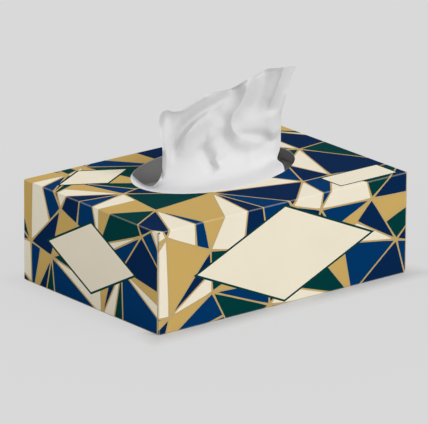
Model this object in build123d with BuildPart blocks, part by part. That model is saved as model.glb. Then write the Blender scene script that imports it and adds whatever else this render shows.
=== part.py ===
from build123d import *
import math
import os

os.makedirs("parts", exist_ok=True)

# A flat tissue box: a folded and glued paperboard carton with an oval opening,
# the pile of interfolded tissues in it, and one tissue pulled up through the opening.
# Millimetres. X runs along the box, the front is at -Y, +Z is up, and the origin is
# the middle of the underside.

# Carton, outside sizes and board
length = 220.0
width = 150.0
height = 73.0
board = 0.45
fold_radius = 0.9
flap_relief = 0.15
glue_flap = 16.0
dust_flap = 48.0
dust_flap_corner = 9.0
inner_flap_gap = 2.0

# Opening, an oval die-cut in the top panel, nearer to the back and a little askew
opening_length = 137.0
opening_width = 89.0
opening_x = 9.0
opening_y = 14.5
opening_turn = 8.0

# Pile of interfolded tissues
pile_height = 50.0
pile_end_gap = 4.0
pile_side_gap = 4.0
pile_folds = 25
fold_bulge = 0.7

# Pulled tissue: a curtain that stands along the opening, and a skirt that comes up
# from the pile just inside the oval, fills its front and dips at its left end
curtain_back_shift = -0.5
curtain_thickness = 2.4
curtain_left_gap = 24.5
curtain_right_gap = 9.5
shoulder_rise = 50.0
dip_rise = 47.5
crest_rise = 56.0
peak_rise = 63.5
tip_reach = 16.0
foot_reach = 20.0
foot_rise = 14.0
skirt_gap = 0.8
skirt_thickness = 2.0
skirt_rise = 2.5
wing_drop = 10.0

# Places that follow from these sizes
crease_end = fold_radius + flap_relief
panel_under = height - board
pile_top = board + pile_height
pile_length = length - 2 * (3 * board + pile_end_gap)
pile_width = width - 2 * (2 * board + pile_side_gap)
opening_plane = Plane((opening_x, opening_y, 0), x_dir=Vector(1, 0, 0).rotate(Axis.Z, opening_turn))
curtain_y = opening_y + curtain_back_shift
curtain_left = opening_x - opening_length / 2 + curtain_left_gap
curtain_right = opening_x + opening_length / 2 - curtain_right_gap


def folded_strip(plane, corners, start, end):
    # A strip of board folded along the corners of its outer face, board inside.
    with BuildPart() as strip:
        with BuildSketch(plane.offset(start)):
            with BuildLine():
                FilletPolyline(*corners, radius=fold_radius)
                offset(amount=board, side=Side.RIGHT)
            make_face()
        extrude(amount=end - start)
    return strip.part


# Carton: the tube of four panels, then the sheets that turn over its ends
tube_half = length / 2 - 2 * board - fold_radius
wrap = folded_strip(
    Plane.YZ,
    [(0, 0), (-width / 2, 0), (-width / 2, height), (width / 2, height), (width / 2, crease_end)],
    -tube_half,
    tube_half,
)
glued_edge = folded_strip(
    Plane.YZ,
    [(width / 2 - board, glue_flap), (width / 2 - board, 0), (0, 0)],
    -tube_half,
    tube_half,
)
outer_half = width / 2 - crease_end
outer_flaps = folded_strip(
    Plane.XZ,
    [(-length / 2, crease_end), (-length / 2, height), (length / 2, height), (length / 2, crease_end)],
    -outer_half,
    outer_half,
)
inner_x = length / 2 - board
inner_half = outer_half - board
inner_top = panel_under - inner_flap_gap
inner_flaps = folded_strip(
    Plane.XZ,
    [(inner_x, inner_top), (inner_x, 0), (-inner_x, 0), (-inner_x, inner_top)],
    -inner_half,
    inner_half,
)
dust_x = length / 2 - 2 * board
dust_y = width / 2 - dust_flap
front_dust_flaps = folded_strip(
    Plane.XY,
    [(dust_x, -dust_y), (dust_x, -width / 2), (-dust_x, -width / 2), (-dust_x, -dust_y)],
    crease_end,
    height - crease_end,
)

with BuildPart() as carton:
    add(front_dust_flaps)
    fillet(carton.edges().filter_by(Axis.X).group_by(Axis.Y)[-1], radius=dust_flap_corner)
    mirror(about=Plane.XZ)
    add([wrap, glued_edge, outer_flaps, inner_flaps])
    with BuildSketch(opening_plane.offset(panel_under - board)):
        Ellipse(opening_length / 2, opening_width / 2)
    extrude(amount=3 * board, mode=Mode.SUBTRACT)
carton.part.label = "carton"
export_step(carton.part, "parts/carton.step")

# Pile of interfolded tissues, its two long sides made of rounded fold edges
fold_step = pile_height / pile_folds
with BuildPart() as tissue_stack:
    with BuildSketch(Plane.YZ.offset(-pile_length / 2)):
        with BuildLine():
            side = pile_width / 2 - fold_bulge
            Line((-side, board), (side, board))
            for fold in range(pile_folds):
                low = board + fold * fold_step
                high = low + fold_step
                middle = (low + high) / 2
                ThreePointArc((side, low), (side + fold_bulge, middle), (side, high))
                ThreePointArc((-side, low), (-side - fold_bulge, middle), (-side, high))
            Line((-side, pile_top), (side, pile_top))
        make_face()
    extrude(amount=pile_length)
tissue_stack.part.label = "tissue_stack"
export_step(tissue_stack.part, "parts/tissue_stack.step")

# Pulled tissue, the curtain's folds as seen from the front: places along each fold, as
# shares of the curtain's span and heights above the carton, then how far it stands out
# to the front and its half width
curtain_span = curtain_right - curtain_left
curtain_folds = {
    "main ridge": ([(0.80, 66), (0.66, 50), (0.55, 36), (0.54, 27), (0.62, 19), (0.74, 12)], 8.0, 9.0),
    "long ridge": ([(0.02, 10), (0.15, 31), (0.30, 39), (0.60, 56)], 4.5, 6.5),
    "upper valley": ([(0.06, 10), (0.09, 30), (0.22, 43), (0.40, 53)], -6.5, 7.0),
    "right ridge": ([(1.02, 64), (0.94, 51), (0.87, 40)], 4.5, 7.0),
    "level fold": ([(0.68, 27), (0.82, 22), (0.96, 14)], -4.0, 6.0),
    "low ridge": ([(0.36, 27), (0.42, 18), (0.50, 4)], 4.0, 7.0),
    "pit": ([(0.27, 21), (0.29, 11), (0.32, 0)], -4.5, 6.0),
}
curtain_foot = -5.0
level_count = 14
station_count = 17


def fold_depth(x, rise):
    # How far the folds together stand out at one place of the curtain.
    place = Vector(x, rise)
    depth = 0.0
    for line, stand_out, half_width in curtain_folds.values():
        corners = [Vector(curtain_left + share * curtain_span, level) for share, level in line]
        nearest = 10 * half_width
        for start, end in zip(corners, corners[1:]):
            run = end - start
            share = min(1.0, max(0.0, (place - start).dot(run) / run.dot(run)))
            nearest = min(nearest, (start + run * share - place).length)
        depth += stand_out * math.exp(-((nearest / half_width) ** 2))
    return depth


def curtain_front(x, rise):
    # The front of the curtain: it leans out to its foot, and its folds stand out.
    from_middle = (x - curtain_left) / curtain_span - 0.55
    foot = foot_reach * max(0.0, 1 - (from_middle / 0.55) ** 2)
    return curtain_y - foot * math.exp(-max(rise, 0.0) / foot_rise) - fold_depth(x, rise)


# The skirt, a thin web from the oval's front edge to the curtain's foot, which slopes down
# into the oval's left end. Its back edge: a share of the curtain's span, how far behind
# the curtain's line, and how far above the rim
skirt_level = height - skirt_gap / 2
skirt_back = [
    (-0.24, 15.0, -0.1 * wing_drop),
    (-0.15, 24.0, -0.3 * wing_drop),
    (-0.07, 30.0, -0.6 * wing_drop),
    (0.01, 18.0, -0.7 * wing_drop),
    (0.06, -2.0, 0.0),
    (0.15, -6.0, skirt_rise),
    (0.34, -14.0, skirt_rise),
    (0.55, -18.0, skirt_rise),
    (0.75, -15.0, skirt_rise),
    (0.94, -6.0, skirt_rise / 2),
]
with BuildPart() as skirt:
    for share, behind, rise in skirt_back:
        with BuildSketch(Plane.YZ.offset(curtain_left + share * curtain_span)):
            with BuildLine():
                front_y = opening_y - 0.6 * opening_width
                back_y = curtain_y + behind
                Polyline(
                    (front_y, skirt_level - skirt_thickness),
                    (back_y, skirt_level - skirt_thickness + rise),
                    (back_y, skirt_level + rise),
                    (front_y, skirt_level),
                    close=True,
                )
            make_face()
    loft(ruled=True)
    # It stays inside the oval
    with BuildSketch(opening_plane.offset(pile_top)):
        Ellipse(opening_length / 2 - skirt_gap, opening_width / 2 - skirt_gap)
    extrude(amount=height, mode=Mode.INTERSECT)
    # The wall from the pile up to it, along the oval's front and left edge
    with BuildSketch(opening_plane.offset(pile_top)):
        Ellipse(opening_length / 2 - skirt_gap, opening_width / 2 - skirt_gap)
        Ellipse(
            opening_length / 2 - skirt_gap - skirt_thickness,
            opening_width / 2 - skirt_gap - skirt_thickness,
            mode=Mode.SUBTRACT,
        )
        with BuildLine():
            Polyline(
                (-0.2 * opening_length, 0.46 * opening_width),
                (-opening_length, opening_width),
                (-opening_length, -opening_width),
                (0.22 * opening_length, -0.46 * opening_width),
                close=True,
            )
        make_face(mode=Mode.INTERSECT)
    extrude(amount=skirt_level - pile_top)

with BuildPart() as pulled_tissue:
    # The curtain, a loft of its lines in plan from its foot to above its peak, ruled from
    # level to level so that its mesh stays light
    for level in range(level_count):
        rise = curtain_foot + (peak_rise + 2 - curtain_foot) * level / (level_count - 1)
        front = []
        for station in range(station_count):
            x = curtain_left - 10 + (curtain_span + tip_reach + 18) * station / (station_count - 1)
            front.append(Vector(x, curtain_front(x, rise)))
        back = [place + Vector(0, curtain_thickness) for place in front[::-1]]
        with BuildSketch(Plane.XY.offset(height + rise)):
            with BuildLine():
                Spline(*front)
                Line(front[-1], back[0])
                Spline(*back)
                Line(back[-1], front[0])
            make_face()
    loft(ruled=True)
    # Its outline as seen from the front
    with BuildSketch(Plane.XZ.offset(-curtain_y)):
        with BuildLine():
            left_foot = (curtain_left - 7, height + curtain_foot)
            right_foot = (curtain_right - 9, height + curtain_foot)
            left_corner = (curtain_left - 8, height + shoulder_rise)
            dip = (curtain_left + 15, height + dip_rise)
            peak = (curtain_left + 0.88 * curtain_span, height + peak_rise)
            tip = (curtain_right + tip_reach, height + peak_rise - 3)
            Line(left_foot, right_foot)
            Spline(left_foot, (curtain_left + 1, height + 9), (curtain_left - 1, height + 24), left_corner)
            Spline(left_corner, (curtain_left + 2, height + shoulder_rise + 1.5), dip)
            Spline(
                dip,
                (curtain_left + 30, height + crest_rise - 1),
                (curtain_left + 58, height + crest_rise),
                peak,
            )
            Line(peak, tip)
            Spline(tip, (curtain_right + 5, height + 38), (curtain_right + 1, height + 15), right_foot)
        make_face()
    extrude(amount=2 * foot_reach, both=True, mode=Mode.INTERSECT)
    add(skirt)
pulled_tissue.part.label = "pulled_tissue"
export_step(pulled_tissue.part, "parts/pulled_tissue.step")
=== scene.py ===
import bpy
import math
import random
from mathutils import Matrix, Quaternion, Vector, geometry


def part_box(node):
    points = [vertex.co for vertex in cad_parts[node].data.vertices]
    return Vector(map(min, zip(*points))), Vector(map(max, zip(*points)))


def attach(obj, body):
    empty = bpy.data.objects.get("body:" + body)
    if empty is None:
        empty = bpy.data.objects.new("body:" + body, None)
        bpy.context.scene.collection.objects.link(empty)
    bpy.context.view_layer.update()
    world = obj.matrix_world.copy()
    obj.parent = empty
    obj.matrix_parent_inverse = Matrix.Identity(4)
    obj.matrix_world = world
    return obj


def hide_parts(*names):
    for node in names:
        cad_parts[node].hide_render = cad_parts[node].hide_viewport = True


# A flat tissue box: printed paperboard carton, the pile inside it and one tissue pulled up.
# Everything is in metres, in the frame of the CAD model. Settings in millimetres are turned
# into metres by mm, where the meshes are made.

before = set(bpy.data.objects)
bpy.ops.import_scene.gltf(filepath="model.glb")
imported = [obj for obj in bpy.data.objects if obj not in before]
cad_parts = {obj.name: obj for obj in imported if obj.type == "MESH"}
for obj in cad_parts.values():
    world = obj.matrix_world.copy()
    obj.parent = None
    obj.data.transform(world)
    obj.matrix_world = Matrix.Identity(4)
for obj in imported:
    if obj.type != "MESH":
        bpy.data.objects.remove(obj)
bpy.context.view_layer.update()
mm = 0.001


def toLinear(hexColour):
    # "#C3A05A" to linear red, green and blue, with a full alpha
    channels = [int(hexColour[i:i + 2], 16) / 255 for i in (1, 3, 5)]
    linear = [c / 12.92 if c <= 0.04045 else ((c + 0.055) / 1.055) ** 2.4 for c in channels]
    return (*linear, 1.0)


def newMaterial(name):
    material = bpy.data.materials.new(name)
    material.use_nodes = True
    return material, material.node_tree.nodes["Principled BSDF"]


def addNode(material, kind, settings=None, links=None):
    # One node with its settings, and its inputs linked from (node, output name)
    node = material.node_tree.nodes.new(kind)
    for key, value in (settings or {}).items():
        if isinstance(key, str) and hasattr(node, key):
            setattr(node, key, value)
        else:
            node.inputs[key].default_value = value
    for key, (source, output) in (links or {}).items():
        material.node_tree.links.new(source.outputs[output], node.inputs[key])
    return node


def linkTo(material, source, output, target, name):
    material.node_tree.links.new(source.outputs[output], target.inputs[name])


def newPiece(name, points, faces, smooth=False):
    # A mesh piece from points in millimetres
    mesh = bpy.data.meshes.new(name)
    mesh.from_pydata([Vector(p) * mm for p in points], [], faces)
    mesh.update()
    piece = bpy.data.objects.new(name, mesh)
    bpy.context.scene.collection.objects.link(piece)
    if smooth:
        mesh.shade_smooth()
    return piece


# Carton: its sizes are read from the CAD node, the small ones repeat the CAD model's
cartonLow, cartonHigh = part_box("carton")
carton = {
    "halfLength": cartonHigh.x / mm,
    "halfWidth": cartonHigh.y / mm,
    "height": cartonHigh.z / mm,
    "board": 0.45,
    "foldRadius": 0.9,
    "flapRelief": 0.15,
    "foldSteps": 6,
    "inkLift": 0.03,
    "cutEdgeReach": 1.1,
    "opening": {"length": 137.0, "width": 89.0, "x": 9.0, "y": 14.5, "turn": 8.0, "sides": 120},
}
radius = carton["foldRadius"]
arcLength = radius * math.pi / 2
creaseEnd = radius + carton["flapRelief"]
panelEnd = carton["halfLength"] - 2 * carton["board"] - radius
flapEnd = carton["halfLength"] - radius
sideEdge = carton["halfWidth"] - radius
sideDrop = carton["height"] - 2 * radius


def roundFold(distance, before):
    # Along a sheet that turns down over one fold: how far out, how far down and the outward lean
    if distance <= before:
        return distance, 0.0, 0.0
    angle = min((distance - before) / radius, math.pi / 2)
    straight = max(0.0, distance - before - arcLength)
    return before + radius * math.sin(angle), radius * (1 - math.cos(angle)) + straight, angle


def foldGirth(u, v):
    # A point of the flat blank folded round the tube: top at |v| small, then side, then bottom
    lift = carton["inkLift"]
    side = math.copysign(1.0, v)
    along = abs(v)
    lowerFold = sideEdge + arcLength + sideDrop
    if along <= lowerFold:
        out, down, angle = roundFold(along, sideEdge)
        return u, side * (out + lift * math.sin(angle)), carton["height"] - down + lift * math.cos(angle)
    angle = min((along - lowerFold) / radius, math.pi / 2)
    inward = max(0.0, along - lowerFold - arcLength)
    y = sideEdge + (radius + lift) * math.cos(angle) - inward
    z = radius - (radius + lift) * math.sin(angle)
    return u, side * y, z


def foldEnd(u, v):
    # A point of the top panel's end flap, folded down over the end
    lift = carton["inkLift"]
    out, down, angle = roundFold(abs(u), flapEnd)
    x = math.copysign(out + lift * math.sin(angle), u)
    return x, v, carton["height"] - down + lift * math.cos(angle)


def foldCorner(u, v):
    # A point of a long side panel where it turns in to the dust flap
    lift = carton["inkLift"]
    angle = (abs(u) - panelEnd) / radius
    x = math.copysign(panelEnd + (radius + lift) * math.sin(angle), u)
    y = math.copysign(sideEdge + (radius + lift) * math.cos(angle), v)
    z = carton["height"] - radius - (abs(v) - sideEdge - arcLength)
    return x, y, z


# Print: shards of ink with gold lines between them, laid out on the flat blank so that the
# pattern runs on over the folds, and plain cards with a border
printwork = {
    "seed": 20,
    "spacing": 46.0,
    "rowShare": 0.87,
    "jitter": 0.42,
    "splitShare": 0.5,
    "splitFrom": (0.3, 0.7),
    "lineWidth": 1.2,
    "hubWidth": 2.0,
    "hubReach": 0.2,
    "border": 1.5,
    "labelBorder": 1.3,
    "inks": {"cream": 0.31, "navy": 0.22, "blue": 0.15, "green": 0.16, "gold": 0.16},
    "cards": {
        "front": {"centre": (0.3, -(sideEdge + arcLength + sideDrop / 2 + 0.3)), "half": (80.0, 35.0)},
        "back": {"centre": (-0.3, sideEdge + arcLength + sideDrop / 2 + 0.3), "half": (80.0, 35.0)},
        "left": {"centre": (-(flapEnd + arcLength + sideDrop / 2 + 0.5), -1.4), "half": (26.3, 50.2)},
        "right": {"centre": (flapEnd + arcLength + sideDrop / 2 + 0.5, 1.4), "half": (26.3, 50.2)},
        "topLeft": {"centre": (-69.0, 49.4), "half": (31.8, 18.2)},
    },
    "label": {"centre": (78.5, -59.6), "half": (26.0, 11.7)},
}


def diamond(centre, half):
    # A card's outline on the blank
    (u, v), (a, b) = centre, half
    return [(u - a, v), (u, v - b), (u + a, v), (u, v + b)]


def lineOutline(a, b):
    # A gold line from a to b, a little wider where lines meet
    across = Vector((a.y - b.y, b.x - a.x)).normalized()
    wide, thin = printwork["hubWidth"] / 2, printwork["lineWidth"] / 2
    nearA = a.lerp(b, printwork["hubReach"])
    nearB = b.lerp(a, printwork["hubReach"])
    outline = [a - across * wide, nearA - across * thin, nearB - across * thin, b - across * wide]
    outline += [b + across * wide, nearB + across * thin, nearA + across * thin, a + across * wide]
    return [tuple(p) for p in outline]


def shardPolygons():
    # Jittered corners joined to triangles. Most are split again from their sharpest corner, so
    # that slender shards fan out from it; neighbours differ in ink; each edge is a gold line.
    pick = random.Random(printwork["seed"])
    spacing = printwork["spacing"]
    reachU = carton["halfLength"] + carton["height"] + spacing
    reachV = 2 * carton["halfWidth"] + carton["height"] + spacing
    corners = []
    for row in range(int(-reachV // spacing), int(reachV // spacing) + 1):
        for column in range(int(-reachU // spacing), int(reachU // spacing) + 1):
            shift = 0.5 if row % 2 else 0.0
            u = (column + shift + pick.uniform(-1, 1) * printwork["jitter"]) * spacing
            v = (row + pick.uniform(-1, 1) * printwork["jitter"]) * spacing * printwork["rowShare"]
            corners.append(Vector((u, v)))
    corners, edges, triangles = geometry.delaunay_2d_cdt(corners, [], [], 0, 1e-5)[:3]
    inkOfEdge, shards, lines = {}, [], [(corners[i], corners[j]) for i, j in edges]
    names, weights = list(printwork["inks"]), list(printwork["inks"].values())
    for triangle in triangles:
        sides = [frozenset((triangle[i], triangle[i - 1])) for i in range(3)]
        around = {ink for side in sides for ink in inkOfEdge.get(side, ())}
        i = min(range(3), key=lambda k: (corners[triangle[k - 1]] - corners[triangle[k - 2]]).length)
        tip, left, right = corners[triangle[i]], corners[triangle[i - 2]], corners[triangle[i - 1]]
        middle = left.lerp(right, pick.uniform(*printwork["splitFrom"]))
        halves = [[tip, left, middle], [tip, middle, right]]
        if pick.random() > printwork["splitShare"]:
            halves = [[tip, left, right]]
        else:
            lines.append((tip, middle))
        for half in halves:
            free = [0.0 if name in around else weight for name, weight in zip(names, weights)]
            ink = pick.choices(names, free if sum(free) else weights)[0]
            around.add(ink)
            shards.append((ink, [tuple(p) for p in half]))
            for side in sides:
                inkOfEdge.setdefault(side, set()).add(ink)
    return shards + [("goldLine", lineOutline(a, b)) for a, b in lines]


def bandPolygon(lowU, highU, lowV, highV):
    return [(lowU, lowV), (highU, lowV), (highU, highV), (lowU, highV)]


def cardPolygons():
    # The cards and the label, each a field with its border under it
    polygons = []
    for card in printwork["cards"].values():
        (a, b), border = card["half"], printwork["border"]
        shrink = border * math.hypot(a, b) / b, border * math.hypot(a, b) / a
        polygons.append(("border", diamond(card["centre"], card["half"])))
        polygons.append(("card", diamond(card["centre"], (a - shrink[0], b - shrink[1]))))
    (u, v), (a, b) = printwork["label"]["centre"], printwork["label"]["half"]
    for ink, inset in (("border", 0.0), ("card", printwork["labelBorder"])):
        field = bandPolygon(u - a + inset, u + a - inset, v - b + inset, v + b - inset)
        polygons.append((ink, field))
    return polygons


def openingPolygon():
    # The die-cut oval, as many short straight cuts
    hole = carton["opening"]
    turn = math.radians(hole["turn"])
    outline = []
    for i in range(hole["sides"]):
        angle = 2 * math.pi * i / hole["sides"]
        a, b = math.cos(angle) * hole["length"] / 2, math.sin(angle) * hole["width"] / 2
        outline.append((hole["x"] + a * math.cos(turn) - b * math.sin(turn),
                        hole["y"] + a * math.sin(turn) + b * math.cos(turn)))
    return outline


def foldLines(regionU, regionV, foldsU, foldsV):
    # Short strips along each fold, so that the ink bends round it
    (lowU, highU), (lowV, highV) = regionU, regionV
    lines = []
    for start in foldsU:
        for step in range(carton["foldSteps"] + 1):
            u = start + arcLength * step / carton["foldSteps"]
            if lowU < u < highU:
                lines.append([(u, lowV), (u, highV)])
    for start in foldsV:
        for step in range(carton["foldSteps"] + 1):
            v = start + arcLength * step / carton["foldSteps"]
            if lowV < v < highV:
                lines.append([(lowU, v), (highU, v)])
    return lines


def layInk(regionU, regionV, foldsU, foldsV, hole=None):
    # Cuts the layout into faces inside one region of the blank: a list of (ink, outline)
    layers = [(name, p) for name, p in artwork
              if max(q[0] for q in p) > regionU[0] and min(q[0] for q in p) < regionU[1]
              and max(q[1] for q in p) > regionV[0] and min(q[1] for q in p) < regionV[1]]
    outlines = [("paper", bandPolygon(*regionU, *regionV))] + layers
    if hole:
        outlines.append(("hole", hole))
    points, edges, faces = [], [], []
    for _, outline in outlines:
        first = len(points)
        area = sum(p[0] * q[1] - q[0] * p[1] for p, q in zip(outline, outline[1:] + outline[:1]))
        ordered = outline if area > 0 else outline[::-1]
        points += [Vector(p) for p in ordered]
        faces.append(list(range(first, len(points))))
    for line in foldLines(regionU, regionV, foldsU, foldsV):
        edges.append((len(points), len(points) + 1))
        points += [Vector(p) for p in line]
    cut = geometry.delaunay_2d_cdt(points, edges, faces, 4, 1e-6)
    cutPoints, cutFaces, origins = cut[0], cut[2], cut[5]
    inked = []
    for face, origin in zip(cutFaces, origins):
        names = [outlines[i][0] for i in origin]
        if 0 not in origin or "hole" in names:
            continue
        inked.append((outlines[max(origin)][0], [tuple(cutPoints[i]) for i in face]))
    return inked


def foldSkin(regions):
    # One thin printed skin from all regions, each folded by its own rule
    points, faces, inks, found = [], [], [], {}
    for inked, fold in regions:
        for ink, outline in inked:
            face = []
            for u, v in outline:
                place = fold(u, v)
                key = tuple(round(c, 4) for c in place)
                if key not in found:
                    found[key] = len(points)
                    points.append(place)
                face.append(found[key])
            if len(set(face)) > 2:
                faces.append(face)
                inks.append(ink)
    return points, faces, inks


artwork = shardPolygons() + cardPolygons()
girthUp = sideEdge + arcLength + sideDrop
girthFolds = [sideEdge, girthUp, -sideEdge - arcLength, -girthUp - arcLength]
bottomEnd = -(girthUp + arcLength + 2 * sideEdge - carton["board"])
backEnd = girthUp - creaseEnd + radius
flapFoot = flapEnd + arcLength + sideDrop - creaseEnd + radius
topHalf = carton["halfWidth"] - creaseEnd
tube = layInk((-panelEnd, panelEnd), (bottomEnd, backEnd), [], girthFolds, openingPolygon())
regions = [(tube, foldGirth)]
for low, high in ((-flapFoot, -panelEnd), (panelEnd, flapFoot)):
    flap = layInk((low, high), (-topHalf, topHalf), [flapEnd, -flapEnd - arcLength], [])
    regions.append((flap, foldEnd))
sideLow = sideEdge + arcLength + creaseEnd - radius
sideHigh = girthUp - creaseEnd + radius
for lowV, highV in ((-sideHigh, -sideLow), (sideLow, sideHigh)):
    for lowU, highU in ((-panelEnd - arcLength, -panelEnd), (panelEnd, panelEnd + arcLength)):
        regions.append((layInk((lowU, highU), (lowV, highV), [lowU], []), foldCorner))
skinPoints, skinFaces, skinInks = foldSkin(regions)
printedSkin = newPiece("printed_skin", skinPoints, skinFaces)
print("printed skin", len(skinPoints), "points", len(skinFaces), "faces")


def coatedInk(name, hexColour):
    # Offset ink on coated folding boxboard under a matt laminate: an even colour, a faint broad
    # sheen, a fibre relief that shows only where light grazes it, and folds painted lighter: a painted
    # highlight along each fold, partly also scuffed coat
    material, surface = newMaterial(name)
    place = addNode(material, "ShaderNodeTexCoord")
    # Print density drifts a little over about 30 mm
    drift = addNode(material, "ShaderNodeTexNoise", {"Scale": 1 / 0.030, "Detail": 2.0},
                    {"Vector": (place, "Object")})
    tone = addNode(material, "ShaderNodeMapRange", {"To Min": 0.965, "To Max": 1.035},
                   {"Value": (drift, "Fac")})
    ink = addNode(material, "ShaderNodeHueSaturation", {"Color": toLinear(hexColour)},
                  {"Value": (tone, "Result")})
    # Fibres under the coat, about 0.4 mm apart; 0.9 mm here so that they show
    fibre = addNode(material, "ShaderNodeTexNoise", {"Scale": 1 / 0.0009, "Detail": 3.0},
                    {"Vector": (place, "Object")})
    # On a fold the skin faces between two axes, so the parts of its normal add up to more than 1
    size = addNode(material, "ShaderNodeVectorMath", {"operation": "ABSOLUTE"}, {0: (place, "Normal")})
    turned = addNode(material, "ShaderNodeVectorMath", {"operation": "DOT_PRODUCT", 1: (1, 1, 1)},
                     {0: (size, "Vector")})
    onFold = addNode(material, "ShaderNodeMapRange", {"From Min": 1.02, "From Max": 1.4, "To Max": 0.5},
                     {"Value": (turned, "Value")})
    # Painted highlight: fold faces are mixed towards a pale colour, broken up by the fibres; partly scuffed
    # coat
    foldHighlightShare = addNode(material, "ShaderNodeMath", {"operation": "MULTIPLY"},
                    {0: (onFold, "Result"), 1: (fibre, "Fac")})
    foldHighlightInk = addNode(material, "ShaderNodeMix", {"data_type": "RGBA", 7: toLinear("#CFC6B2")},
                   {0: (foldHighlightShare, "Value"), 6: (ink, "Color")})
    linkTo(material, foldHighlightInk, 2, surface, "Base Color")
    relief = addNode(material, "ShaderNodeBump", {"Strength": 0.06, "Distance": 0.0002},
                     {"Height": (fibre, "Fac")})
    linkTo(material, relief, "Normal", surface, "Normal")
    rough = addNode(material, "ShaderNodeMapRange", {"To Min": 0.6, "To Max": 0.75},
                    {"Value": (fibre, "Fac")})
    linkTo(material, rough, "Result", surface, "Roughness")
    surface.inputs["IOR"].default_value = 1.5
    surface.inputs["Specular IOR Level"].default_value = 0.01
    return material


inkColours = {
    "cream": "#E6DEC9",
    "navy": "#06244A",
    "blue": "#003362",
    "green": "#003838",
    "gold": "#C2A25E",
    "goldLine": "#B99F69",
    "border": "#063A38",
    "card": "#E6DDC8",
}
for ink, colour in inkColours.items():
    printedSkin.data.materials.append(coatedInk("coated paperboard, " + ink + " ink", colour))
inkIndex = {ink: index for index, ink in enumerate(inkColours)}
for polygon, ink in zip(printedSkin.data.polygons, skinInks):
    polygon.material_index = inkIndex["cream" if ink == "paper" else ink]
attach(printedSkin, "root")


def bareBoard():
    # Uncoated side of folding boxboard: light grey, matte, fibrous. The cut edges of the end
    # flaps, at the corners of the box, show the board's tan core and some ink dust; that tan is kept
    # light as painted light against the shade in the slot beside the flap edge.
    material, surface = newMaterial("folding boxboard, uncoated side")
    place = addNode(material, "ShaderNodeTexCoord")
    fibre = addNode(material, "ShaderNodeTexNoise", {"Scale": 1 / 0.0012, "Detail": 4.0},
                    {"Vector": (place, "Object")})
    plain = addNode(material, "ShaderNodeMix",
                    {"data_type": "RGBA", 6: toLinear("#CBCAC8"), 7: toLinear("#D9D8D6")},
                    {0: (fibre, "Fac")})
    parts = addNode(material, "ShaderNodeSeparateXYZ", {}, {"Vector": (place, "Object")})
    fromMiddle = addNode(material, "ShaderNodeMath", {"operation": "ABSOLUTE"}, {0: (parts, "X")})
    edgeStart = (carton["halfLength"] - carton["cutEdgeReach"]) * mm
    onEdge = addNode(material, "ShaderNodeMapRange",
                     {"From Min": edgeStart, "From Max": edgeStart + 0.2 * mm},
                     {"Value": (fromMiddle, "Value")})
    # Partly painted light: the cut-edge tan is lighter, so the shaded slot beside it looks less dark
    colour = addNode(material, "ShaderNodeMix", {"data_type": "RGBA", 7: toLinear("#C0AC80")},
                     {0: (onEdge, "Result"), 6: (plain, 2)})
    linkTo(material, colour, 2, surface, "Base Color")
    relief = addNode(material, "ShaderNodeBump", {"Strength": 0.15, "Distance": 0.0002},
                     {"Height": (fibre, "Fac")})
    linkTo(material, relief, "Normal", surface, "Normal")
    surface.inputs["Roughness"].default_value = 0.85
    return material


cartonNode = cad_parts["carton"]
cartonNode.data.materials.clear()
cartonNode.data.materials.append(bareBoard())
print("carton dressed")

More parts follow.
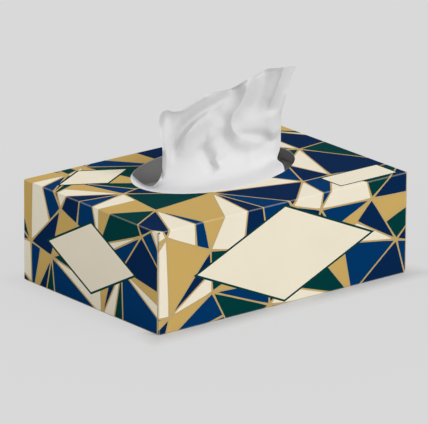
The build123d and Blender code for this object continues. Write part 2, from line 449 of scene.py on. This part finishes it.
# Pulled tissue: one sheet that lies on the pile under the front of the top panel, comes up
# just inside the oval and stands as a curtain along it. Its hems and folds are places on the
# curtain's own upright plane (along the box, up), as they are seen from the photograph's side,
# and lift moves a place along towardView, towards the viewer.
tissue = {
    "flat": (185.0, 200.0),
    "curtainY": 14.0,
    "towardView": (-0.807, -1.0, 0.419),
    "netColumns": 40,
    "netRows": 30,
    "columns": 176,
    "rows": 126,
    "relaxTurns": (8, 260),
    "fadeShare": 0.12,
    "taperShare": 0.25,
    "tuckRows": 60,
    "rimFrom": 135.0,
    "rimTo": 296.0,
    "rimHeight": 72.9,
    "rimInset": 0.8,
    # outward from the oval's edge and height: under the panel, down to the pile and folded back;
    # near a wall of the box it takes less room outward
    "tuck": [(-0.8, 72.9), (-0.5, 72.1), (0.6, 71.5), (6.0, 69.5), (15.0, 62.5), (25.0, 54.5),
             (34.0, 52.0), (38.0, 51.4), (34.0, 50.9), (20.0, 50.8), (8.0, 50.8)],
    "tuckReach": 38.0,
    "tuckLimit": (103.0, 68.0),
    # along, up, lift
    "leftHem": [(-63.5, 83.4, -25.0), (-60.0, 79.6, -34.0), (-55.5, 75.6, -38.0), (-50.8, 72.4, -32.0),
                (-46.5, 70.8, -16.0), (-42.4, 70.3, -1.0), (-39.5, 72.6, 1.0), (-36.9, 74.9, 1.0),
                (-36.5, 79.2, 0.0), (-36.3, 84.2, -1.5), (-36.2, 89.2, -2.0), (-36.3, 96.3, -3.0),
                (-38.5, 108.0, -6.0), (-39.6, 118.0, -15.0)],
    "topHem": [(-39.6, 118.0, -15.0), (-37.5, 122.0, -18.0), (-33.0, 123.3, -14.0), (-25.3, 120.6, -6.0),
               (-17.0, 121.0, -3.0), (-10.0, 126.0, -2.0), (0.0, 128.4, -1.0), (23.0, 128.0, 0.0),
               (38.0, 131.7, 1.0), (50.0, 134.6, 1.0), (57.0, 136.3, 0.0), (69.6, 134.6, 1.0),
               (83.0, 134.0, -4.0)],
    "rightHem": [(72.2, 58.8, 34.6), (70.5, 64.0, 26.0), (66.0, 69.0, 10.0), (68.8, 77.0, 2.0),
                 (69.2, 88.0, 0.0), (69.6, 102.0, 0.0), (73.5, 112.0, 0.0), (77.0, 124.0, -2.0),
                 (83.0, 134.0, -4.0)],
    # each fold: its line, how far it stands out, its half width, 1 for a crease or 2 for a roll
    "folds": {
        "top ridge": ([(-24, 118), (-19.2, 119.6), (-15.3, 121), (-11.4, 122.1), (-5.5, 124.2), (0.4, 125.9),
                       (8.3, 126.5)], 1.8, 1.8, 1.2),
        "upper valley": ([(-29, 81), (-27, 89), (-24.5, 95.5), (-21.5, 102), (-17, 107.5), (-9.5, 111.5),
                          (0, 115), (9.5, 118), (18, 122), (25, 124.5), (33, 128.5)], -5.5, 5.0, 2),
        "long ridge": ([(-27, 86), (-24.9, 90.9), (-21.5, 95.9), (-17.1, 100.7), (-12.3, 104.6),
                        (-5.4, 109.7), (2.5, 113.1), (8.4, 116), (16.3, 118.9), (23.2, 121.3),
                        (30.1, 124)], 5.0, 6.0, 1.2),
        "main ridge": ([(46, 137), (42, 130.7), (39, 126.4), (36.6, 120.4), (32.2, 113.1), (26.3, 108.6),
                        (24.3, 103.3), (25.9, 97.3), (31.4, 91.4), (39.4, 87.9), (48.4, 83.3), (54.5, 78)],
                       4.5, 4.5, 1.2),
        "ridge shade": ([(34, 132), (27, 122), (16, 113), (8, 105)], -5.4, 8.0, 2),
        "panel hollow": ([(59, 146), (54, 137.8), (52, 129.1), (49, 120.7), (45.5, 113.3), (42, 107),
                          (39, 101)], -6.5, 9.0, 2),
        "flap edge": ([(75, 146), (70.9, 135.1), (69, 128.9), (65.1, 119.9), (60.2, 111.9), (56, 105)],
                      4.5, 3.2, 1),
        "flap crease": ([(76, 118), (73.2, 112.7), (70.3, 107.6), (68, 100)], 2.0, 2.0, 1.2),
        "level fold": ([(26, 94.5), (31.3, 93), (38.3, 90.8), (46.4, 89.5), (54.4, 86.6), (59.5, 82.7),
                        (63, 77)], -4.0, 4.0, 2),
        "right hollow": ([(50, 86), (54, 78), (57, 71), (59, 62)], -3.0, 6.5, 2),
        "side bulge": ([(60, 106), (61.4, 93), (66, 84)], 3.5, 6.0, 2),
        "low valley": ([(10, 104), (14, 98), (18, 90), (23.5, 84), (31, 79), (38, 76), (46, 73)],
                       -3.2, 7.0, 2),
        "low ridge": ([(1, 99), (5, 98.2), (10.5, 94.7), (13.5, 88.4), (16.5, 80.5), (18.6, 76.1)],
                      2.2, 5.0, 2),
        "pit": ([(-3.5, 94), (-1.3, 90.2), (2, 84), (7.2, 77.3), (12.7, 69.9)], -4.0, 4.8, 2),
        "pit edge": ([(8.6, 82), (12.6, 75.6), (16.2, 70)], 2.0, 2.5, 1.5),
        "left strip": ([(-34.7, 124), (-34.7, 116.1), (-34, 107.1), (-33.3, 99.8), (-31.5, 89.1), (-30, 80)],
                       2.0, 4.0, 2),
        "hem turn": ([(-38.6, 73.0), (-37.8, 77), (-37.4, 81), (-37.2, 86), (-37.1, 90), (-37.2, 95)],
                     -5.5, 2.4, 2),
        "hem curl": ([(20, 126.5), (24.1, 127.4), (30.1, 128.1), (37, 130.8), (41, 133)], -3.0, 1.3, 1),
        "corner curl": ([(45, 131.5), (48.4, 132.9), (53.4, 135.5), (57, 138)], -2.0, 1.2, 1),
    },
}


def smoothLine(points, steps=400, between=24):
    # A smooth curve through the points, as places at even distances from 0 to 1
    ends = [[2 * a - b for a, b in zip(points[0], points[1])]] + [list(p) for p in points]
    ends.append([2 * a - b for a, b in zip(points[-1], points[-2])])
    dense = []
    for i in range(1, len(ends) - 2):
        for k in range(between):
            f = k / between
            dense.append([0.5 * (2 * b + (c - a) * f + (2 * a - 5 * b + 4 * c - d) * f * f
                                 + (3 * b - a - 3 * c + d) * f ** 3)
                          for a, b, c, d in zip(*ends[i - 1:i + 3])])
    dense.append(list(points[-1]))
    lengths = [0.0]
    for p, q in zip(dense, dense[1:]):
        lengths.append(lengths[-1] + math.dist(p, q))
    even, i = [], 0
    for step in range(steps + 1):
        want = lengths[-1] * step / steps
        while i < len(lengths) - 2 and lengths[i + 1] < want:
            i += 1
        f = (want - lengths[i]) / max(lengths[i + 1] - lengths[i], 1e-9)
        even.append([a + (b - a) * f for a, b in zip(dense[i], dense[i + 1])])
    return even


def along(line, f):
    # The place at the share f of an evenly divided line
    at = min(max(f, 0.0), 1.0) * (len(line) - 1)
    i = min(int(at), len(line) - 2)
    return [a + (b - a) * (at - i) for a, b in zip(line[i], line[i + 1])]


def rimPlace(angle, outward, height):
    # A place beside the oval's edge, and which way is out
    hole = carton["opening"]
    turn, a, b = math.radians(hole["turn"]), hole["length"] / 2, hole["width"] / 2
    across = Vector((b * math.cos(angle), a * math.sin(angle))).normalized() * outward
    local = Vector((a * math.cos(angle), b * math.sin(angle))) + across
    x = hole["x"] + local.x * math.cos(turn) - local.y * math.sin(turn)
    y = hole["y"] + local.x * math.sin(turn) + local.y * math.cos(turn)
    return Vector((x, y, height))


def seenPlace(point):
    # Where a place is seen on the curtain's plane: along, up, lift
    lift = tissue["curtainY"] - point.y
    toward = tissue["towardView"]
    return [point.x - toward[0] * lift, point.z - toward[2] * lift, lift]


def placeSeen(seen):
    # The place in space that is seen there
    toward = tissue["towardView"]
    x, z, lift = seen
    return Vector((x + toward[0] * lift, tissue["curtainY"] + toward[1] * lift, z + toward[2] * lift))


def foldLift(x, z):
    # What all the folds together add at one place
    total = 0.0
    for line, height, width, power in foldLinesSeen:
        lowEnd, highEnd, leftEnd, rightEnd = line["box"]
        reach = 3.2 * width  # beyond it a fold adds next to nothing
        if not (leftEnd - reach < x < rightEnd + reach and lowEnd - reach < z < highEnd + reach):
            continue
        best, at = 1e9, 0.0
        for (ax, az), (bx, bz), start, length in line["parts"]:
            f = ((x - ax) * (bx - ax) + (z - az) * (bz - az)) / (length * length)
            f = min(max(f, 0.0), 1.0)
            d = math.hypot(x - ax - (bx - ax) * f, z - az - (bz - az) * f)
            if d < best:
                best, at = d, (start + f * length) / line["length"]
        taper = min(1.0, at / tissue["taperShare"], (1 - at) / tissue["taperShare"])
        taper = taper * taper * (3 - 2 * taper)
        total += height * taper * math.exp(-((best / width) ** power))
    return total


def foldLine(points):
    # A fold's line as short straight parts, with its length and the box round it
    line = [p[:2] for p in smoothLine([(*p, 0.0) for p in points], 14)]
    parts, start = [], 0.0
    for p, q in zip(line, line[1:]):
        parts.append((p, q, start, math.dist(p, q)))
        start += math.dist(p, q)
    xs, zs = [p[0] for p in line], [p[1] for p in line]
    return {"parts": parts, "length": start, "box": (min(zs), max(zs), min(xs), max(xs))}


foldLinesSeen = [(foldLine(line), *shape) for line, *shape in tissue["folds"].values()]


def rimAngle(s):
    # The oval's own angle at the share s of the skirt's run along its edge
    return math.radians(tissue["rimFrom"] + (tissue["rimTo"] - tissue["rimFrom"]) * s)


def rimAngleAt(place):
    # The oval's own angle at a place on or near its edge
    hole = carton["opening"]
    turn = math.radians(hole["turn"])
    x, y = place.x - hole["x"], place.y - hole["y"]
    a = (x * math.cos(turn) + y * math.sin(turn)) / (hole["length"] / 2)
    b = (y * math.cos(turn) - x * math.sin(turn)) / (hole["width"] / 2)
    return math.atan2(b, a)


def outwardRoom(angle):
    # How far outward from the oval's edge the sheet stays clear of the carton's walls
    edge, out = rimPlace(angle, 0.0, 0.0), rimPlace(angle, 1.0, 0.0)
    rooms = [tissue["tuckReach"]]
    for here, step, limit in zip(edge, out - edge, tissue["tuckLimit"]):
        if abs(step) > 1e-6:
            rooms.append((math.copysign(limit, step) - here) / step)
    return max(0.0, min(rooms))


def relaxedNet(bottom, top, west, east, columns, rows):
    # A net held at its four edges, with every place inside at the mean of its neighbours, as a
    # soap film hangs: the skirt's flare and the curtain's lean come from it
    net = []
    for row in range(rows + 1):
        t = row / rows
        line = []
        for column in range(columns + 1):
            s = column / columns
            edge = [along(bottom, s), along(top, s), along(west, t), along(east, t)]
            corner = [bottom[0], bottom[-1], top[0], top[-1]]
            line.append([(1 - t) * edge[0][k] + t * edge[1][k] + (1 - s) * edge[2][k] + s * edge[3][k]
                         - (1 - t) * ((1 - s) * corner[0][k] + s * corner[1][k])
                         - t * ((1 - s) * corner[2][k] + s * corner[3][k]) for k in range(3)])
        net.append(line)
    inPlan, inAll = tissue["relaxTurns"]
    for turn in range(inAll):
        for row in range(1, rows):
            above, here, below = net[row + 1], net[row], net[row - 1]
            for column in range(1, columns):
                a, b, c, d = above[column], below[column], here[column - 1], here[column + 1]
                for k in (range(3) if turn < inPlan else (2,)):
                    here[column][k] += (a[k] + b[k] + c[k] + d[k]) / 4 - here[column][k]
    return net


def tissuePoints():
    # The whole sheet, row by row: the part tucked under the panel, then the net with its folds
    columns, rows = tissue["columns"], tissue["rows"]
    rimAngles = [rimAngle(k / 50) for k in range(51)]
    rim = [seenPlace(rimPlace(angle, -tissue["rimInset"], tissue["rimHeight"])) for angle in rimAngles]
    edges = [smoothLine(line) for line in (rim, tissue["topHem"], tissue["leftHem"], tissue["rightHem"])]
    net = relaxedNet(*edges, tissue["netColumns"], tissue["netRows"])
    wide = [smoothLine(line, columns) for line in net]
    tall = [smoothLine([line[column] for line in wide], rows) for column in range(columns + 1)]
    points = []
    tuck = smoothLine([(a, z, 0.0) for a, z in tissue["tuck"]][::-1])
    angles = [rimAngleAt(placeSeen(line[0])) for line in tall]
    rooms = [outwardRoom(angle) for angle in angles]
    for row in range(tissue["tuckRows"]):
        outward, height, _ = along(tuck, row / tissue["tuckRows"])
        for angle, room in zip(angles, rooms):
            share = min(1.0, room / tissue["tuckReach"]) if outward > 0 else 1.0
            points.append(rimPlace(angle, outward * share, height))
    for row in range(rows + 1):
        fade = min(1.0, row / rows / tissue["fadeShare"])
        for column in range(columns + 1):
            x, z, lift = tall[column][row]
            points.append(placeSeen((x, z, lift + foldLift(x, z) * fade)))
    return points


tissueGrid = tissuePoints()
perRow = tissue["columns"] + 1
tissueFaces = []
for row in range(tissue["tuckRows"] + tissue["rows"]):
    for column in range(tissue["columns"]):
        a = row * perRow + column
        tissueFaces.append((a, a + 1, a + perRow + 1, a + perRow))
pulledTissue = newPiece("pulled_tissue_sheet", tissueGrid, tissueFaces, smooth=True)
print("tissue sheet", len(tissueGrid), "points")


def tissuePaper(name, lowerPaintedLight, upperPaintedShade, through):
    # Two-ply facial tissue, creped and calendered: matte and soft; light passes through one layer.
    # Its colour is painted greyer high up and whiter low down: painted shade on the upper sheet and
    # painted light on the skirt at the opening.
    material, surface = newMaterial(name)
    place = addNode(material, "ShaderNodeTexCoord")
    parts = addNode(material, "ShaderNodeSeparateXYZ", {}, {"Vector": (place, "Object")})
    # Painted shade and light by height: the colour runs from the whiter skirt low down to grey high up
    high = addNode(material, "ShaderNodeMapRange", {"From Min": 0.073, "From Max": 0.114},
                   {"Value": (parts, "Z")})
    paper = addNode(material, "ShaderNodeMix",
                    {"data_type": "RGBA", 6: toLinear(lowerPaintedLight), 7: toLinear(upperPaintedShade)},
                    {0: (high, "Result")})
    # Crepe lines stand about 0.3 mm apart; coarser here, at 1.6 mm, so that they show
    crepe = addNode(material, "ShaderNodeTexNoise", {"Scale": 1 / 0.0016, "Detail": 3.0},
                    {"Vector": (place, "Object")})
    cloud = addNode(material, "ShaderNodeTexNoise", {"Scale": 1 / 0.012, "Detail": 2.0},
                    {"Vector": (place, "Object")})
    tone = addNode(material, "ShaderNodeMapRange", {"To Min": 0.975, "To Max": 1.025},
                   {"Value": (cloud, "Fac")})
    colour = addNode(material, "ShaderNodeHueSaturation", {},
                     {"Value": (tone, "Result"), "Color": (paper, 2)})
    linkTo(material, colour, "Color", surface, "Base Color")
    relief = addNode(material, "ShaderNodeBump", {"Strength": 0.10, "Distance": 0.0003},
                     {"Height": (crepe, "Fac")})
    linkTo(material, relief, "Normal", surface, "Normal")
    surface.inputs["Roughness"].default_value = 0.9
    surface.inputs["Specular IOR Level"].default_value = 0.15
    glow = addNode(material, "ShaderNodeBsdfTranslucent", {},
                   {"Color": (colour, "Color"), "Normal": (relief, "Normal")})
    both = addNode(material, "ShaderNodeMixShader", {0: through},
                   {1: (surface, "BSDF"), 2: (glow, "BSDF")})
    linkTo(material, both, "Shader", material.node_tree.nodes["Material Output"], "Surface")
    return material


pulledTissue.data.materials.append(tissuePaper("facial tissue, creped paper", "#E5E5E6", "#D6D6D7", 0.14))
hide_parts("pulled_tissue")
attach(pulledTissue, "root")

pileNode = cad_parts["tissue_stack"]
pileNode.data.materials.clear()
pileNode.data.materials.append(tissuePaper("pile of interfolded tissues", "#E4E4E6", "#E4E4E6", 0.0))
print("tissue dressed")

# Camera: fitted to the carton's corners in the photograph, nearly without perspective
viewpoint = {
    "azimuth": -38.90,
    "elevation": 18.05,
    "roll": 0.354,
    "distance": 4266.5,
    "shiftRight": -0.966,
    "shiftUp": 44.29,
    "lens": 517.5,
}
azimuth, elevation, roll = (math.radians(viewpoint[k]) for k in ("azimuth", "elevation", "roll"))
back = Vector((math.sin(azimuth) * math.cos(elevation), -math.cos(azimuth) * math.cos(elevation),
               math.sin(elevation)))
level = Vector((math.cos(azimuth), math.sin(azimuth), 0))
upward = back.cross(level)
right = level * math.cos(roll) + upward * math.sin(roll)
upward = back.cross(right)
cameraData = bpy.data.cameras.new("camera")
cameraData.lens = viewpoint["lens"]
cameraData.sensor_width = 36
cameraData.clip_end = 50
camera = bpy.data.objects.new("camera", cameraData)
bpy.context.scene.collection.objects.link(camera)
aside = right * viewpoint["shiftRight"] + upward * viewpoint["shiftUp"]
camera.location = (back * viewpoint["distance"] + aside) * mm
camera.rotation_mode = "QUATERNION"
camera.rotation_quaternion = back.to_track_quat("Z", "Y")
fromBack = camera.rotation_quaternion.to_matrix()
turn = math.atan2(right.dot(fromBack @ Vector((0, 1, 0))), right.dot(fromBack @ Vector((1, 0, 0))))
camera.rotation_quaternion = camera.rotation_quaternion @ Quaternion((0, 0, 1), turn)
bpy.context.scene.camera = camera

# Floor: pale matte paint. For the camera the paint is darker, which shows close to the box as a
# painted shadow that deepens the contact shadow in front; round the box that shadow is softened, and
# from about a third of a metre away the floor is the even grey of a studio sweep.
floorLook = {
    "half": 3000,
    "front": (-0.080, -0.060),
    "besideShare": 0.80,
    "nearShare": 0.92,
    "contact": 0.018,
    "farFrom": 0.12,
    "farTo": 0.34,
}
floorHalf = floorLook["half"]
floorCorners = [(-floorHalf, -floorHalf, 0), (floorHalf, -floorHalf, 0), (floorHalf, floorHalf, 0),
                (-floorHalf, floorHalf, 0)]
floor = newPiece("floor", floorCorners, [(0, 1, 2, 3)])
floorPaint, floorSurface = newMaterial("studio floor, matte paint")
floorSurface.inputs["Roughness"].default_value = 0.9
floorSurface.inputs["Specular IOR Level"].default_value = 0.0
floorPlace = addNode(floorPaint, "ShaderNodeTexCoord")
floorParts = addNode(floorPaint, "ShaderNodeSeparateXYZ", {}, {"Vector": (floorPlace, "Object")})
gaps = []
for axis, half in (("X", carton["halfLength"]), ("Y", carton["halfWidth"])):
    away = addNode(floorPaint, "ShaderNodeMath", {"operation": "ABSOLUTE"}, {0: (floorParts, axis)})
    gaps.append(addNode(floorPaint, "ShaderNodeMath", {"operation": "SUBTRACT", 1: half * mm},
                        {0: (away, "Value")}))
offBox = addNode(floorPaint, "ShaderNodeMath", {"operation": "MAXIMUM"},
                 {0: (gaps[0], "Value"), 1: (gaps[1], "Value")})
edgeShare = addNode(floorPaint, "ShaderNodeMapRange",
                    {"From Min": floorLook["front"][0], "From Max": floorLook["front"][1],
                     "To Max": floorLook["besideShare"]},
                    {"Value": (floorParts, "Y")})
nearShare = addNode(floorPaint, "ShaderNodeMapRange",
                    {"From Max": floorLook["contact"], "To Max": floorLook["nearShare"]},
                    {"Value": (offBox, "Value"), "To Min": (edgeShare, "Result")})
fromMiddle = addNode(floorPaint, "ShaderNodeVectorMath", {"operation": "LENGTH"},
                     {0: (floorPlace, "Object")})
farShare = addNode(floorPaint, "ShaderNodeMapRange",
                   {"From Min": floorLook["farFrom"], "From Max": floorLook["farTo"],
                    "interpolation_type": "SMOOTHSTEP"},
                   {"Value": (fromMiddle, "Value"), "To Min": (nearShare, "Result")})
ray = addNode(floorPaint, "ShaderNodeLightPath")
# Painted shadow: camera rays see the paint as #C4C4C4 instead of #D9D9D9, which shows near the box
paint = addNode(floorPaint, "ShaderNodeMix",
                {"data_type": "RGBA", 6: toLinear("#D9D9D9"), 7: toLinear("#C4C4C4")},
                {0: (ray, "Is Camera Ray")})
linkTo(floorPaint, paint, 2, floorSurface, "Base Color")
seenShare = addNode(floorPaint, "ShaderNodeMath", {"operation": "MULTIPLY"},
                    {0: (farShare, "Result"), 1: (ray, "Is Camera Ray")})
sweep = addNode(floorPaint, "ShaderNodeEmission", {"Color": toLinear("#D9D9D9"), "Strength": 1.0})
floorBoth = addNode(floorPaint, "ShaderNodeMixShader", {},
                    {0: (seenShare, "Value"), 1: (floorSurface, "BSDF"), 2: (sweep, "Emission")})
linkTo(floorPaint, floorBoth, "Shader", floorPaint.node_tree.nodes["Material Output"], "Surface")
floor.data.materials.append(floorPaint)

# Light: a large soft key from the front right, a weak fill from the left, and a white room that
# is a little brighter towards the front right
lighting = {
    "key": {"place": (2.2, -4.2, 4.0), "size": 3.0, "power": 160},
    "fill": {"place": (-4.6, -1.2, 1.6), "size": 3.0, "power": 24},
    "room": (0.58, 0.84),
    "roomFront": (0.45, -0.75, 0.25),
}


def areaLight(name, place, size, power):
    # A round lamp that faces the middle of the box
    data = bpy.data.lights.new(name, "AREA")
    data.shape = "DISK"
    data.size = size
    data.energy = power
    lamp = bpy.data.objects.new(name, data)
    bpy.context.scene.collection.objects.link(lamp)
    lamp.location = place
    lamp.rotation_mode = "QUATERNION"
    lamp.rotation_quaternion = (-Vector(place)).to_track_quat("-Z", "Y")


for lampName in ("key", "fill"):
    areaLight(lampName, **lighting[lampName])
world = bpy.data.worlds.new("studio")
bpy.context.scene.world = world
world.use_nodes = True
world.node_tree.nodes["Background"].inputs["Color"].default_value = (1, 1, 1, 1)
background = world.node_tree.nodes["Background"]
direction = addNode(world, "ShaderNodeTexCoord")
facing = addNode(world, "ShaderNodeVectorMath", {"operation": "DOT_PRODUCT", 1: lighting["roomFront"]},
                 {0: (direction, "Generated")})
brightness = addNode(world, "ShaderNodeMapRange",
                     {"From Min": -0.9, "From Max": 0.9,
                      "To Min": lighting["room"][0], "To Max": lighting["room"][1]},
                     {"Value": (facing, "Value")})
linkTo(world, brightness, "Result", background, "Strength")
bpy.context.scene.view_settings.view_transform = "Standard"

print("scene done")
